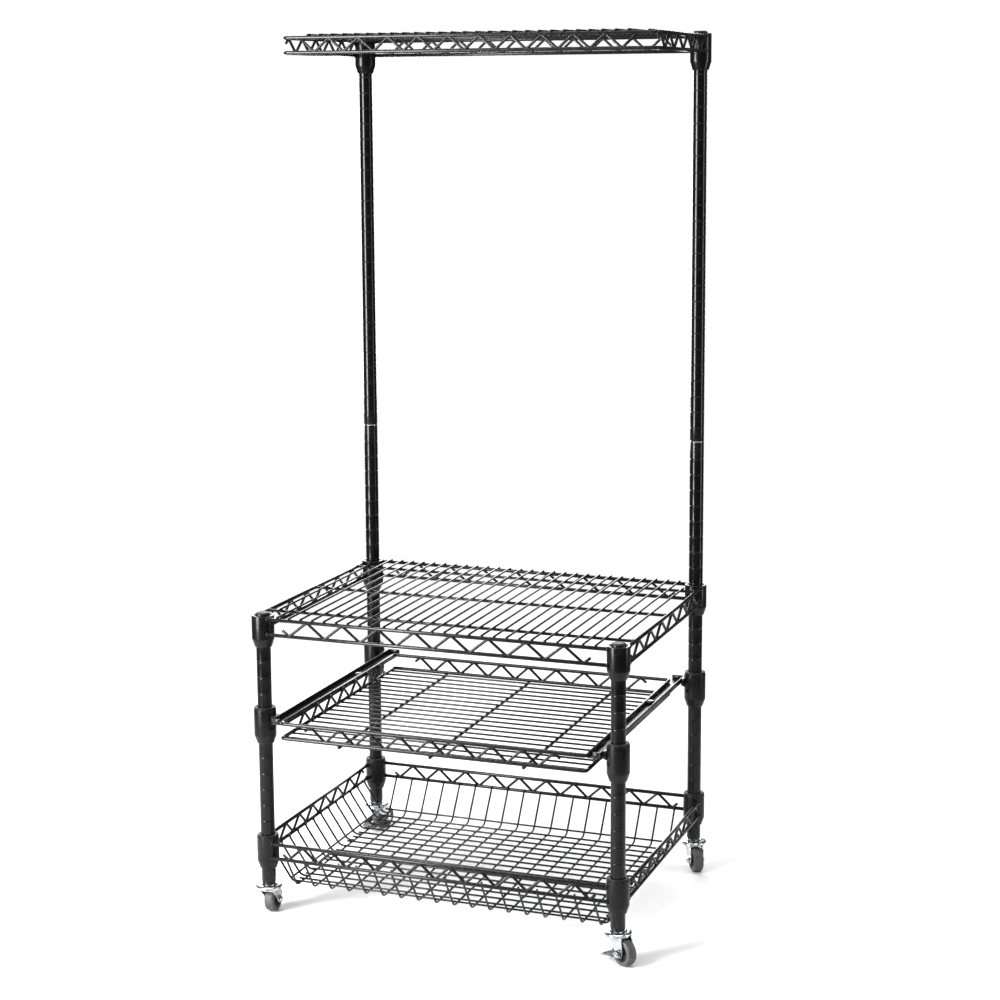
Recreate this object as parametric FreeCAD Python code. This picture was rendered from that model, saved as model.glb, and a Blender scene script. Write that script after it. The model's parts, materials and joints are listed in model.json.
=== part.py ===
import FreeCAD, Part
import math
import os

# Rolling wire clothes rack. Millimetres. +Z up, X across the rack, the front faces -Y.
# Origin: on the floor, midway between the four posts.
os.makedirs("parts", exist_ok=True)
V = FreeCAD.Vector

# ---------------------------------------------------------------- driving dimensions
U = 25.4                     # groove pitch of the posts
POST_DX = 22.5 * U           # post centres, left to right
POST_DY = 16.5 * U           # post centres, front to rear
POST_R = 11.1                # 7/8 in tube
POST_WALL = 1.2
POST_Z0 = 52.4               # lower end of every post
FRONT_TOP = 482.6            # top of the two short posts
JOINT_Z = 716.0              # where the two lengths of a rear post meet
REAR_TOP = 1361.0            # top of the two tall posts
GROOVE_D = 0.45
GROOVE_W = 1.8
CAP_T = 2.4                  # dome of a post cap

COLLAR_R = 17.3
COLLAR_BORE = 14.1
SLEEVE_R = 14.0
SLEEVE_BORE = 11.15
# bottom, start of the straight part, top of each row of collars
COLLAR_TABLE = (431.0, 444.0, 481.0)
COLLAR_RAIL = (278.0, 290.5, 333.0)
COLLAR_BASKET = (76.5, 89.0, 128.0)
COLLAR_TOP = (1303.0, 1316.0, 1359.5)

RAIL_R = 2.9                 # horizontal truss wires
ZIG_R = 2.15                 # zigzag wire
MAT_R = 1.6                  # surface wires
CROSS_R = 2.3                # wires that carry the surface wires
WELD = 0.4                   # depth that crossing wires are pressed into each other

TRUSS_OUT = 11.5             # truss plane, outboard of the post axis
TABLE_Z = 477.0
TABLE_H = 24.1
SHELF_Z = 1355.0             # upper wire of the top shelf's trusses
SHELF_H = 22.5
SHELF_FRONT = -72.4
BASKET_Z = 118.2
BASKET_H = 22.8
FLOOR_Z = 41.6               # front-to-rear wires of the basket floor
FLOOR_HX = 256.0             # half size of the basket floor
FLOOR_HY = 178.0
TRAY_Z = 295.9               # lower wires of the tray's trusses
TRAY_H = 22.9
TRAY_HX = 245.0
TRAY_Y0 = -236.0
TRAY_Y1 = 202.0

TABLE_PITCH = 2.32 * U       # zigzag pitch of the table trusses
PITCH = 1.93 * U             # zigzag pitch of every other truss

SLIDE_Y0 = -228.6
SLIDE_Y1 = 223.5
SLIDE_IN = 243.5             # inner edge of the flange that carries the tray
SLIDE_OUT = 264.5            # outer face of the web
SLIDE_T = 2.2
SLIDE_TOP = 323.0
SCREW_Z = 319.0
RUN_GAP = 0.35               # tray's wire above the flange

WHEEL_R = 20.0
WHEEL_W = 16.0
TRAIL = 15.0
AXLE_R = 3.0
FORK_IN = 9.5                # inner face of a fork leg
FORK_T = 1.9
CASTERS = {                  # corner: (x sign, y sign, heading of the wheel in degrees, has a brake)
    "front_left": (-1, -1, 93.0, False),
    "front_right": (1, -1, -32.0, True),
    "rear_left": (-1, 1, 66.0, True),
    "rear_right": (1, 1, -58.0, False),
}

HX = POST_DX / 2
HY = POST_DY / 2
SX = HX + TRUSS_OUT          # x of the side trusses
SY = HY + TRUSS_OUT          # y of the front and rear trusses
AP = math.cos(math.pi / 8)   # flat of an octagon over its corner radius


# ---------------------------------------------------------------- helpers
def save(name, shape):
    shape.exportStep("parts/" + name + ".step")


def bar(a, b, r, extra=0.0):
    """A straight wire from a to b, an octagon in section with flats up, down and to the sides."""
    a, b = V(*a), V(*b)
    d = b.sub(a).normalize()
    a, b = a.sub(d * extra), b.add(d * extra)
    ref = V(0, 0, 1) if abs(d.z) < 0.95 else V(1, 0, 0)
    x = ref.cross(d).normalize()
    y = d.cross(x)
    rr = r / AP * 0.985
    pts = []
    for i in range(9):
        t = 2 * math.pi * (i + 0.5) / 8
        pts.append(a.add(x * (rr * math.cos(t))).add(y * (rr * math.sin(t))))
    return Part.Face(Part.makePolygon(pts)).extrude(b.sub(a))


def box(x0, x1, y0, y1, z0, z1):
    return Part.makeBox(x1 - x0, y1 - y0, z1 - z0, V(x0, y0, z0))


def rod(x, y, z0, z1, r):
    return Part.makeCylinder(r, z1 - z0, V(x, y, z0), V(0, 0, 1))


def turned(profile, x=0.0, y=0.0):
    """A solid of revolution about a vertical axis from (radius, z) points."""
    pts = [V(r, 0, z) for r, z in profile]
    face = Part.Face(Part.makePolygon(pts + [pts[0]]))
    s = face.revolve(V(0, 0, 0), V(0, 0, 1), 360)
    s.translate(V(x, y, 0))
    return s


def fused(shapes):
    s = shapes[0].multiFuse(shapes[1:])
    if len(s.Solids) == 1:
        return s.Solids[0]
    return s


def group(shapes):
    solids = []
    for s in shapes:
        solids += s.Solids
    return Part.makeCompound(solids)


def corners(sx=(-1, 1), sy=(-1, 1)):
    return [(i * HX, j * HY) for j in sy for i in sx]


# ---------------------------------------------------------------- posts
def post(x, y, z0, z1):
    """A tube with a shallow ring groove at every inch above the post's lower end."""
    out = [(POST_R - POST_WALL, z0), (POST_R - 0.3, z0), (POST_R, z0 + 0.4)]
    k = 1
    while POST_Z0 + k * U < z1 - 6:
        z = POST_Z0 + k * U
        if z > z0 + 6:
            w = GROOVE_W / 2
            out += [(POST_R, z - w), (POST_R - GROOVE_D, z - w + 0.4), (POST_R - GROOVE_D, z + w - 0.4), (POST_R, z + w)]
        k += 1
    out += [(POST_R, z1 - 0.4), (POST_R - 0.3, z1), (POST_R - POST_WALL, z1)]
    return turned(out, x, y)


RING = 0.7
save("post_front_left", post(-HX, -HY, POST_Z0, FRONT_TOP))
save("post_front_right", post(HX, -HY, POST_Z0, FRONT_TOP))
save("post_rear_left_lower", post(-HX, HY, POST_Z0, JOINT_Z - RING))
save("post_rear_right_lower", post(HX, HY, POST_Z0, JOINT_Z - RING))
save("post_rear_left_upper", post(-HX, HY, JOINT_Z + RING, REAR_TOP))
save("post_rear_right_upper", post(HX, HY, JOINT_Z + RING, REAR_TOP))

# threaded joining studs: a plug in each tube end and a thin ring that shows between them
TUBE_IN = POST_R - POST_WALL
stud = [(0, JOINT_Z - 26), (TUBE_IN - 1.2, JOINT_Z - 26), (TUBE_IN - 0.05, JOINT_Z - 24), (TUBE_IN - 0.05, JOINT_Z - RING),
        (POST_R, JOINT_Z - RING), (POST_R, JOINT_Z + RING), (TUBE_IN - 0.05, JOINT_Z + RING),
        (TUBE_IN - 0.05, JOINT_Z + 24), (TUBE_IN - 1.2, JOINT_Z + 26), (0, JOINT_Z + 26)]
save("post_joint_studs", group([turned(stud, -HX, HY), turned(stud, HX, HY)]))

# plastic caps pressed into the tops of the four posts
caps = []
for x, y in corners():
    z = FRONT_TOP if y < 0 else REAR_TOP
    caps.append(turned([(0, z - 14), (TUBE_IN - 0.6, z - 14), (TUBE_IN - 0.05, z - 12), (TUBE_IN - 0.05, z), (POST_R, z),
                        (POST_R, z + 0.8), (POST_R - 1.2, z + 1.8), (6.0, z + CAP_T), (0, z + CAP_T)], x, y))
save("post_caps", group(caps))

# steel inserts in the lower ends that take the caster stems
STEM_R = 5.0
inserts = []
for x, y in corners():
    inserts.append(turned([(STEM_R + 0.05, POST_Z0), (TUBE_IN - 0.05, POST_Z0), (TUBE_IN - 0.05, POST_Z0 + 26),
                           (STEM_R + 0.05, POST_Z0 + 26)], x, y))
save("stem_inserts", group(inserts))

# ---------------------------------------------------------------- collars and split sleeves
def collar(x, y, zs):
    z0, z1, z2 = zs
    return turned([(SLEEVE_R - 2.3, z0), (SLEEVE_R - 1.0, z0), (COLLAR_R, z1), (COLLAR_R, z2 - 0.6), (COLLAR_R - 0.6, z2),
                   (COLLAR_BORE, z2), (COLLAR_BORE, z0 + 5), (SLEEVE_R - 2.3, z0 + 5)], x, y)


def lug(x, y, zs):
    """The ear of a slide-rail collar, which reaches in to the web of the slide rail."""
    s = 1 if x > 0 else -1
    b = box(min(s * SLIDE_OUT, s * (HX - 12)), max(s * SLIDE_OUT, s * (HX - 12)), y - 9, y + 9, 311.0, SLIDE_TOP)
    return b.cut(rod(x, y, 300, 340, COLLAR_BORE + 1.0))


save("table_collars", group([collar(x, y, COLLAR_TABLE) for x, y in corners()]))
save("basket_collars", group([collar(x, y, COLLAR_BASKET) for x, y in corners()]))
save("top_shelf_collars", group([collar(x, y, COLLAR_TOP) for x, y in corners(sy=(1,))]))
save("slide_rail_collars", group([fused([collar(x, y, COLLAR_RAIL), lug(x, y, COLLAR_RAIL)]) for x, y in corners()]))


def sleeve(x, y, zs, lip):
    """Two half shells around the post inside a collar, with a rib inside that sits in a groove."""
    z0, z1, z2 = zs
    top = z2 + 2.6 if lip else z2 - 0.3
    prof = [(SLEEVE_BORE, z0 + 5.3), (SLEEVE_R, z0 + 5.3), (SLEEVE_R, z2 + 0.1 if lip else top)]
    if lip:
        prof += [(COLLAR_R - 0.8, z2 + 0.1), (COLLAR_R - 0.8, top - 0.5), (COLLAR_R - 1.3, top)]
    prof += [(SLEEVE_BORE, top)]
    tube = turned(prof, x, y)
    slot = box(x - 30, x + 30, y - 0.3, y + 0.3, z0, top + 5)
    return tube.cut(slot)


sleeves = []
for x, y in corners():
    sleeves.append(sleeve(x, y, COLLAR_TABLE, False))
    sleeves.append(sleeve(x, y, COLLAR_RAIL, True))
    sleeves.append(sleeve(x, y, COLLAR_BASKET, True))
for x, y in corners(sy=(1,)):
    sleeves.append(sleeve(x, y, COLLAR_TOP, False))
save("post_sleeves", group(sleeves))

# ---------------------------------------------------------------- trusses
def zigzag(n_half, pitch, first_up, stub):
    """(s, is_top) vertices of a zigzag centred on s = 0, with a short free stub at each end."""
    pts = []
    s = -n_half * pitch / 4
    up = first_up
    for i in range(n_half + 1):
        pts.append((s, up))
        s += pitch / 2
        up = not up
    return pts, stub


def truss(axis, at, c, half, z_top, h, pitch, n_half, first_up, inner=0.0, ends=(0.0, 0.0), stubs=True):
    """Two parallel wires, one above the other, with a zigzag welded between them.

    axis: direction that it runs in. at: its place on the other axis. c: the middle along its run.
    inner: how far the zigzag's own plane is moved sideways. ends: extra length at each end.
    """
    def P(s, z, off=0.0):
        return (c + s, at + off, z) if axis == "x" else (at + off, c + s, z)
    zb = z_top - h
    parts = [bar(P(-half - ends[0], z_top), P(half + ends[1], z_top), RAIL_R),
             bar(P(-half - ends[0], zb), P(half + ends[1], zb), RAIL_R)]
    pts, _ = zigzag(n_half, pitch, first_up, True)
    ext = 0.0 if not inner else 0.9
    for (s0, u0), (s1, u1) in zip(pts, pts[1:]):
        parts.append(bar(P(s0, z_top if u0 else zb, inner), P(s1, z_top if u1 else zb, inner), ZIG_R, ext))
    if stubs:
        for (s, u), sg in ((pts[0], -1), (pts[-1], 1)):
            z = z_top if u else zb
            z2 = z + (-1 if u else 1) * h * 0.36
            parts.append(bar(P(s, z, inner), P(s + sg * pitch * 0.19, z2, inner), ZIG_R))
    return fused(parts)


def trim(shape, xy, zs):
    """Take the round of each collar out of a truss, so that its wires end on the collars' faces."""
    for x, y in xy:
        shape = shape.cut(rod(x, y, zs[0] - 2, zs[2] + 2, COLLAR_R))
    keep = sorted(shape.Solids, key=lambda s: -s.Volume)
    return keep[0]


ALL = corners()
EX = HX - 6.0                # half run of a front truss before it is trimmed at the collars
EY = HY - 6.0

save("table_front_truss", trim(truss("x", -SY, 0, EX, TABLE_Z, TABLE_H, TABLE_PITCH, 16, False), ALL, COLLAR_TABLE))
save("table_rear_truss", trim(truss("x", SY, 0, EX, TABLE_Z, TABLE_H, TABLE_PITCH, 16, False), ALL, COLLAR_TABLE))
save("table_left_truss", trim(truss("y", -SX, 0, EY, TABLE_Z, TABLE_H, TABLE_PITCH, 12, False), ALL, COLLAR_TABLE))
save("table_right_truss", trim(truss("y", SX, 0, EY, TABLE_Z, TABLE_H, TABLE_PITCH, 12, False), ALL, COLLAR_TABLE))

save("basket_front_truss", trim(truss("x", -SY, 0, EX, BASKET_Z, BASKET_H, PITCH, 20, False), ALL, COLLAR_BASKET))
save("basket_rear_truss", trim(truss("x", SY, 0, EX, BASKET_Z, BASKET_H, PITCH, 20, False), ALL, COLLAR_BASKET))
save("basket_left_truss", trim(truss("y", -SX, 0, EY, BASKET_Z, BASKET_H, PITCH, 14, True), ALL, COLLAR_BASKET))
save("basket_right_truss", trim(truss("y", SX, 0, EY, BASKET_Z, BASKET_H, PITCH, 14, True), ALL, COLLAR_BASKET))

# the top shelf is held by the two rear collars only, so its side trusses reach a front truss with no posts
TOP_BACK = corners(sy=(1,))
mid = (SHELF_FRONT + HY) / 2
run = (HY - SHELF_FRONT) / 2
save("top_front_truss", truss("x", SHELF_FRONT, 0, SX + RAIL_R * 0.985, SHELF_Z, SHELF_H, PITCH, 22, True, stubs=False))
save("top_rear_truss", trim(truss("x", SY, 0, EX, SHELF_Z, SHELF_H, PITCH, 20, False), TOP_BACK, COLLAR_TOP))
for name, sg in (("top_left_truss", -1), ("top_right_truss", 1)):
    t = truss("y", sg * SX, mid, run - 2, SHELF_Z, SHELF_H, PITCH, 10, True)
    t = t.cut(box(-400, 400, SHELF_FRONT - 10, SHELF_FRONT + RAIL_R * 0.985, SHELF_Z - 40, SHELF_Z + 20))
    save(name, trim(t, TOP_BACK, COLLAR_TOP))

# tray: a shelf hung the other way up, so that its trusses stand above its surface as a rim
TC = (TRAY_Y0 + TRAY_Y1) / 2
TH = (TRAY_Y1 - TRAY_Y0) / 2
TZ = TRAY_Z + TRAY_H
save("tray_front_truss", truss("x", TRAY_Y0, 0, TRAY_HX + RAIL_R * 0.985, TZ, TRAY_H, PITCH, 16, True))
save("tray_rear_truss", truss("x", TRAY_Y1, 0, TRAY_HX + RAIL_R * 0.985, TZ, TRAY_H, PITCH, 16, True))
OFF = RAIL_R + ZIG_R - 0.9   # the side zigzags lie on the inner faces of their wires, clear of the slide rails
FL_TOP = TZ - RAIL_R * 0.985 - RUN_GAP   # upper face of the slide rails' flanges
CLIP_Y = (62.0, 74.0)        # stop clip on each upper side wire, which meets the slide rail's front stop at full travel
tray_sides = []
for name, sg in (("tray_left_truss", -1), ("tray_right_truss", 1)):
    side = truss("y", sg * TRAY_HX, TC, TH - RAIL_R * 0.985, TZ, TRAY_H, PITCH, 14, False, inner=-sg * OFF, stubs=False)
    x0, x1 = sorted((sg * TRAY_HX, sg * 257.5))
    side = fused([side, box(x0, x1, CLIP_Y[0], CLIP_Y[1], FL_TOP + 0.8, TZ + 2.2)])
    tray_sides.append(side)
    save(name, side)

# ---------------------------------------------------------------- shelf surfaces
def mat(z_rail, y0, y1, step, n, short_from, cross_y, hx):
    """Surface wires from front to rear on the trusses' upper wires, on three wires from side to side."""
    zm = z_rail + RAIL_R * 0.985 + MAT_R * 0.985
    zc = zm - (MAT_R + CROSS_R) * 0.985 + WELD
    parts = []
    for k in range(-n, n + 1):
        a, b = (y0, y1) if abs(k) < short_from else (cross_y[0] - 5, cross_y[-1] + 5)
        parts.append(bar((k * step, a, zm), (k * step, b, zm), MAT_R))
    for y in cross_y:
        parts.append(bar((-hx + RAIL_R * 0.985, y, zc), (hx - RAIL_R * 0.985, y, zc), CROSS_R))
    return fused(parts)


save("table_mat", mat(TABLE_Z, -SY - 1.5, SY + 1.5, 0.773 * U, 14, 14, (-6.6 * U, 0.0, 6.6 * U), SX))
save("top_mat", mat(SHELF_Z, SHELF_FRONT - 1.5, SY + 1.5, 0.773 * U, 14, 14, (SHELF_FRONT + 42, mid, SY - 66), SX))

zc = TRAY_Z - (RAIL_R + CROSS_R) * 0.985
zm = zc + (CROSS_R + MAT_R) * 0.985 - WELD
tray = [bar((x, TRAY_Y0 - 1.5, zc), (x, TRAY_Y1 + 1.5, zc), CROSS_R) for x in (-5.85 * U, 0.0, 5.85 * U)]
TRAY_STEP = 0.9 * U
k0 = -9
for k in range(k0, -k0 + 1):
    y = TC + k * TRAY_STEP
    if TRAY_Y0 + 6 < y < TRAY_Y1 - 6:
        tray.append(bar((-TRAY_HX + RAIL_R * 0.985, y, zm), (TRAY_HX - RAIL_R * 0.985, y, zm), MAT_R))
# the surface wires end against the side trusses
mat_tray = fused(tray).cut(tray_sides[0]).cut(tray_sides[1])
save("tray_mat", sorted(mat_tray.Solids, key=lambda t: -t.Volume)[0])

# ---------------------------------------------------------------- basket
FB_STEP = 1.16 * U           # front-to-rear wires
LR_STEP = 0.9 * U            # side-to-side wires
fb = [(k + 0.5) * FB_STEP for k in range(-9, 9)]
lr = [k * LR_STEP for k in range(-7, 8)]
side_y = [k * FB_STEP for k in range(-6, 7)]
floor = [bar((x, -FLOOR_HY, FLOOR_Z), (x, FLOOR_HY, FLOOR_Z), MAT_R) for x in fb]
ZL = FLOOR_Z + 2 * MAT_R * 0.985 - WELD
floor += [bar((-FLOOR_HX, y, ZL), (FLOOR_HX, y, ZL), MAT_R) for y in lr]
floor = fused(floor)
save("basket_floor", floor)

ZR = BASKET_Z - BASKET_H     # lower wire of the rim
A_OUT = TRUSS_OUT - (RAIL_R + MAT_R) * 0.985
tool = floor


def wall(axis, sg):
    """Wires that lean in from the rim's lower wire to the edge of the floor, with one wire along their feet."""
    top = (HY if axis == "x" else HX) + A_OUT
    foot = (FLOOR_HY if axis == "x" else FLOOR_HX) + 4.5
    zf = (FLOOR_Z if axis == "x" else ZL) + 1.5
    d = math.hypot(top - foot, ZR - zf)
    dn, dz = (top - foot) / d, (ZR - zf) / d
    parts = []
    for s in (fb if axis == "x" else side_y):
        a = (s, sg * top, ZR + 2.5) if axis == "x" else (sg * top, s, ZR + 2.5)
        m = (s, sg * (top - 0.3), ZR - 3) if axis == "x" else (sg * (top - 0.3), s, ZR - 3)
        b = (s, sg * foot, zf) if axis == "x" else (sg * foot, s, zf)
        e = (s, sg * (foot - 5.5), zf - 1.5) if axis == "x" else (sg * (foot - 5.5), s, zf - 1.5)
        parts += [bar(a, m, MAT_R, 0.6), bar(m, b, MAT_R, 0.5), bar(b, e, MAT_R, 0.6)]
    q = 2 * MAT_R - WELD
    u = foot + dn * 5 - dz * q
    w = zf + dz * 5 + dn * q
    ext = (fb[-1] if axis == "x" else side_y[-1]) + 5
    parts.append(bar((-ext, sg * u, w), (ext, sg * u, w), MAT_R) if axis == "x" else bar((sg * u, -ext, w), (sg * u, ext, w), MAT_R))
    s = fused(parts).cut(tool)
    return sorted(s.Solids, key=lambda t: -t.Volume)[0]


save("basket_front_wall", wall("x", -1))
save("basket_rear_wall", wall("x", 1))
save("basket_left_wall", wall("y", -1))
save("basket_right_wall", wall("y", 1))

# ---------------------------------------------------------------- slide rails
for name, sg in (("slide_rail_left", -1), ("slide_rail_right", 1)):
    pts = [(SLIDE_IN, FL_TOP - SLIDE_T), (SLIDE_OUT, FL_TOP - SLIDE_T), (SLIDE_OUT, SLIDE_TOP), (SLIDE_OUT - SLIDE_T, SLIDE_TOP),
           (SLIDE_OUT - SLIDE_T, FL_TOP), (SLIDE_IN, FL_TOP)]
    face = Part.Face(Part.makePolygon([V(sg * x, SLIDE_Y0, z) for x, z in pts + pts[:1]]))
    s = face.extrude(V(0, SLIDE_Y1 - SLIDE_Y0, 0))
    # folded stops: the front one meets the tray's stop clips, the rear one meets the tray's rear corner
    a, b = sorted((sg * (SLIDE_OUT - SLIDE_T), sg * 252.0))
    s = s.fuse(box(a, b, SLIDE_Y0, SLIDE_Y0 + SLIDE_T, FL_TOP, SLIDE_TOP))
    a, b = sorted((sg * (SLIDE_OUT - SLIDE_T), sg * SLIDE_IN))
    s = s.fuse(box(a, b, SLIDE_Y1 - SLIDE_T, SLIDE_Y1, FL_TOP, SLIDE_TOP))
    for y in (-HY, HY):
        s = s.cut(Part.makeCylinder(2.1, 20, V(sg * (SLIDE_OUT - 10), y, SCREW_Z), V(sg, 0, 0)))
    save(name, s.Solids[0])

# screws that hold the slide rails to the lugs
screws = []
for x, y in corners():
    s = 1 if x > 0 else -1
    x0 = s * (SLIDE_OUT - SLIDE_T)
    head = Part.makeCylinder(3.2, 1.8, V(x0, y, SCREW_Z), V(-s, 0, 0))
    shank = Part.makeCylinder(2.05, SLIDE_T, V(x0, y, SCREW_Z), V(s, 0, 0))
    screws.append(head.fuse(shank))
save("slide_rail_screws", group(screws))

# ---------------------------------------------------------------- casters
def place(shape, name):
    """Turn a caster piece from its own frame, wheel towards +X, to its corner and heading."""
    sx, sy, heading, _ = CASTERS[name]
    shape = shape.copy()
    shape.rotate(V(0, 0, 0), V(0, 0, 1), heading)
    shape.translate(V(sx * HX, sy * HY, 0))
    return shape


def across(x, z, y0, y1, r):
    return Part.makeCylinder(r, y1 - y0, V(x, y0, z), V(0, 1, 0))


PLATE_Z = 42.0
# fixed upper half: thread, nut, dome, and the rivet that carries the swivel
stem = turned([(0, 39.4), (6.6, 39.4), (6.6, 40.6), (5.8, 41.65), (STEM_R, 41.65), (STEM_R, 44.9), (19.4, 44.9), (20.6, 46.0),
               (20.6, 47.2), (19.0, 48.6), (14.5, 50.2), (9.6, 50.9), (9.6, 52.3), (STEM_R, 52.3), (STEM_R, 74.0), (0, 74.0)])
save("caster_stems", group([place(stem, n) for n in CASTERS]))


def fork():
    plate = turned([(STEM_R + 0.08, PLATE_Z), (19.6, PLATE_Z), (19.6, 44.55), (STEM_R + 0.08, 44.55)])
    parts = [plate]
    prof = [(-15.5, PLATE_Z + 0.6), (18.0, PLATE_Z + 0.6), (22.5, 24.0), (20.6, 16.2), (15.0, 13.6), (9.4, 16.2), (6.6, 22.0)]
    for s in (-1, 1):
        y = s * FORK_IN if s > 0 else -FORK_IN - FORK_T
        f = Part.Face(Part.makePolygon([V(a, y, b) for a, b in prof + prof[:1]])).extrude(V(0, FORK_T, 0))
        f = f.cut(box(-30, 30, -30, 30, PLATE_Z + 0.6, 60))
        parts.append(f)
    s = fused(parts)
    s = s.cut(across(TRAIL, WHEEL_R, -20, 20, AXLE_R + 0.02))
    return s.Solids[0]


def axle(braked):
    n = FORK_IN + FORK_T + (2.3 if braked else 0.0)
    s = across(TRAIL, WHEEL_R, -n, n, AXLE_R)
    head = across(TRAIL, WHEEL_R, n, n + 2.2, 5.2)
    nut = Part.Face(Part.makePolygon([V(TRAIL + 5.4 * math.cos(math.pi / 3 * i), -n - 3.4, WHEEL_R + 5.4 * math.sin(math.pi / 3 * i))
                                      for i in range(7)])).extrude(V(0, 3.4, 0))
    return fused([s, head, nut])


def wheel_parts():
    hw = WHEEL_W / 2
    # profile in (radius, across) turned about the axle
    def spun(prof):
        pts = [V(TRAIL, a, WHEEL_R + r) for r, a in prof]
        return Part.Face(Part.makePolygon(pts + [pts[0]])).revolve(V(TRAIL, 0, WHEEL_R), V(0, 1, 0), 360)
    tyre = spun([(13.6, -hw), (18.2, -hw), (19.4, -hw + 0.9), (WHEEL_R, -hw + 2.8), (WHEEL_R, hw - 2.8), (19.4, hw - 0.9),
                 (18.2, hw), (13.6, hw)])
    hub = spun([(AXLE_R + 0.07, -9.1), (5.4, -9.1), (5.4, -6.0), (11.6, -6.0), (11.6, -7.6), (13.55, -7.6), (13.55, 7.6),
                (11.6, 7.6), (11.6, 6.0), (5.4, 6.0), (5.4, 9.1), (AXLE_R + 0.07, 9.1)])
    return tyre, hub


def pedal():
    """A brake lever: two arms that turn on the axle outside the fork, joined by a tread below the fork's front."""
    y0 = FORK_IN + FORK_T + 0.35
    y1 = y0 + 1.6
    ang = math.radians(196.0)
    ex, ez = math.cos(ang), math.sin(ang)
    px, pz = -ez, ex
    def at(l, t):
        return (TRAIL + ex * l + px * t, WHEEL_R + ez * l + pz * t)
    parts = []
    outline = [at(-5.0, -4.2), at(-5.0, 4.2), at(12, 4.6), at(25.0, 3.2), at(33.0, 2.2), at(33.0, -2.2), at(25.0, -3.4), at(12, -4.6)]
    for s in (-1, 1):
        y = y0 if s > 0 else -y1
        f = Part.Face(Part.makePolygon([V(a, y, b) for a, b in outline + outline[:1]])).extrude(V(0, 1.6, 0))
        parts.append(f)
    tread = [at(26.0, -1.4), at(26.0, 1.4), at(36.0, 1.4), at(38.5, 2.6), at(38.5, 0.4), at(36.0, -1.4)]
    parts.append(Part.Face(Part.makePolygon([V(a, -y1, b) for a, b in tread + tread[:1]])).extrude(V(0, 2 * y1, 0)))
    s = fused(parts)
    return s.cut(across(TRAIL, WHEEL_R, -30, 30, AXLE_R + 0.08)).Solids[0]


tyre, hub = wheel_parts()
for n, (sx, sy, heading, braked) in CASTERS.items():
    save("caster_fork_" + n, place(fork(), n))
    save("caster_axle_" + n, place(axle(braked), n))
    save("caster_tyre_" + n, place(tyre, n))
    save("caster_hub_" + n, place(hub, n))
    if braked:
        save("brake_pedal_" + n, place(pedal(), n))
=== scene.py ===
import bmesh
import bpy
import json
import math
import random
from mathutils import Matrix, Vector


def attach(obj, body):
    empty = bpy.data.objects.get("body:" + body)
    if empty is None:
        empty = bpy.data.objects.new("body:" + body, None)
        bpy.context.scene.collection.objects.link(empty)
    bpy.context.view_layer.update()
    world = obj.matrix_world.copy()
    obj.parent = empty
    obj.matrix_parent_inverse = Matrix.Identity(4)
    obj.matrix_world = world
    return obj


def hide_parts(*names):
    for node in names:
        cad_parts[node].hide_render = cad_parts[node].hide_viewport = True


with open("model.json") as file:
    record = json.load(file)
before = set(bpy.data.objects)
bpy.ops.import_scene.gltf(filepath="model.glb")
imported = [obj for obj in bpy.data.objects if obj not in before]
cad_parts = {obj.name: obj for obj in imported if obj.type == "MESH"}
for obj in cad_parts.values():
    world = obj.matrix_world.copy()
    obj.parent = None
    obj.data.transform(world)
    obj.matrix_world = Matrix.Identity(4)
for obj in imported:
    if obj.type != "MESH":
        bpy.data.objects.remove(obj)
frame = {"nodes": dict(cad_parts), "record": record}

for n in ("Cube", "Light", "Camera"):
    o = bpy.data.objects.get(n)
    if o is not None and n not in frame["nodes"]:
        bpy.data.objects.remove(o, do_unlink=True)
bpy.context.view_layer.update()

# ------------------------------------------------------------------ sizes of the frame, in millimetres
U = 25.4
HX, HY = 285.75, 209.55
POST_R, POST_WALL, POST_Z0 = 11.1, 1.2, 52.4
FRONT_TOP, JOINT_Z, REAR_TOP = 482.6, 716.0, 1361.0
RING = 0.7
TUBE_IN = POST_R - POST_WALL
COLLAR_R, COLLAR_BORE, SLEEVE_R, SLEEVE_BORE = 17.3, 14.1, 14.0, 11.15
C_TABLE, C_RAIL, C_BASKET, C_TOP = (431.0, 444.0, 481.0), (278.0, 290.5, 333.0), (76.5, 89.0, 128.0), (1303.0, 1316.0, 1359.5)
RAIL_R, ZIG_R, MAT_R, CROSS_R, WELD = 2.9, 2.15, 1.6, 2.3, 0.4
OUT = 11.5
SX, SY = HX + OUT, HY + OUT
TABLE_Z, TABLE_H = 477.0, 24.1
SHELF_Z, SHELF_H, SHELF_FRONT = 1355.0, 22.5, -72.4
BASKET_Z, BASKET_H = 118.2, 22.8
FLOOR_Z, FLOOR_HX, FLOOR_HY = 41.6, 256.0, 178.0
TRAY_Z, TRAY_H, TRAY_HX, TRAY_Y0, TRAY_Y1 = 295.9, 22.9, 245.0, -236.0, 202.0
TABLE_PITCH, PITCH = 2.32 * U, 1.93 * U
SLIDE_Y0, SLIDE_Y1, SLIDE_IN, SLIDE_OUT, SLIDE_T, SLIDE_TOP = -228.6, 223.5, 243.5, 264.5, 2.2, 323.0
AP = 0.985
TZ = TRAY_Z + TRAY_H
FL_TOP = TZ - RAIL_R * AP - 0.35
WHEEL_R, WHEEL_W, TRAIL, AXLE_R, FORK_IN, FORK_T, STEM_R = 20.0, 16.0, 15.0, 3.0, 9.5, 1.9, 5.0
CASTERS = {
    "front_left": (-1, -1, 93.0, False),
    "front_right": (1, -1, -32.0, True),
    "rear_left": (-1, 1, 66.0, True),
    "rear_right": (1, 1, -58.0, False),
}


def corners(sx=(-1, 1), sy=(-1, 1)):
    return [(i * HX, j * HY) for j in sy for i in sx]


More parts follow.
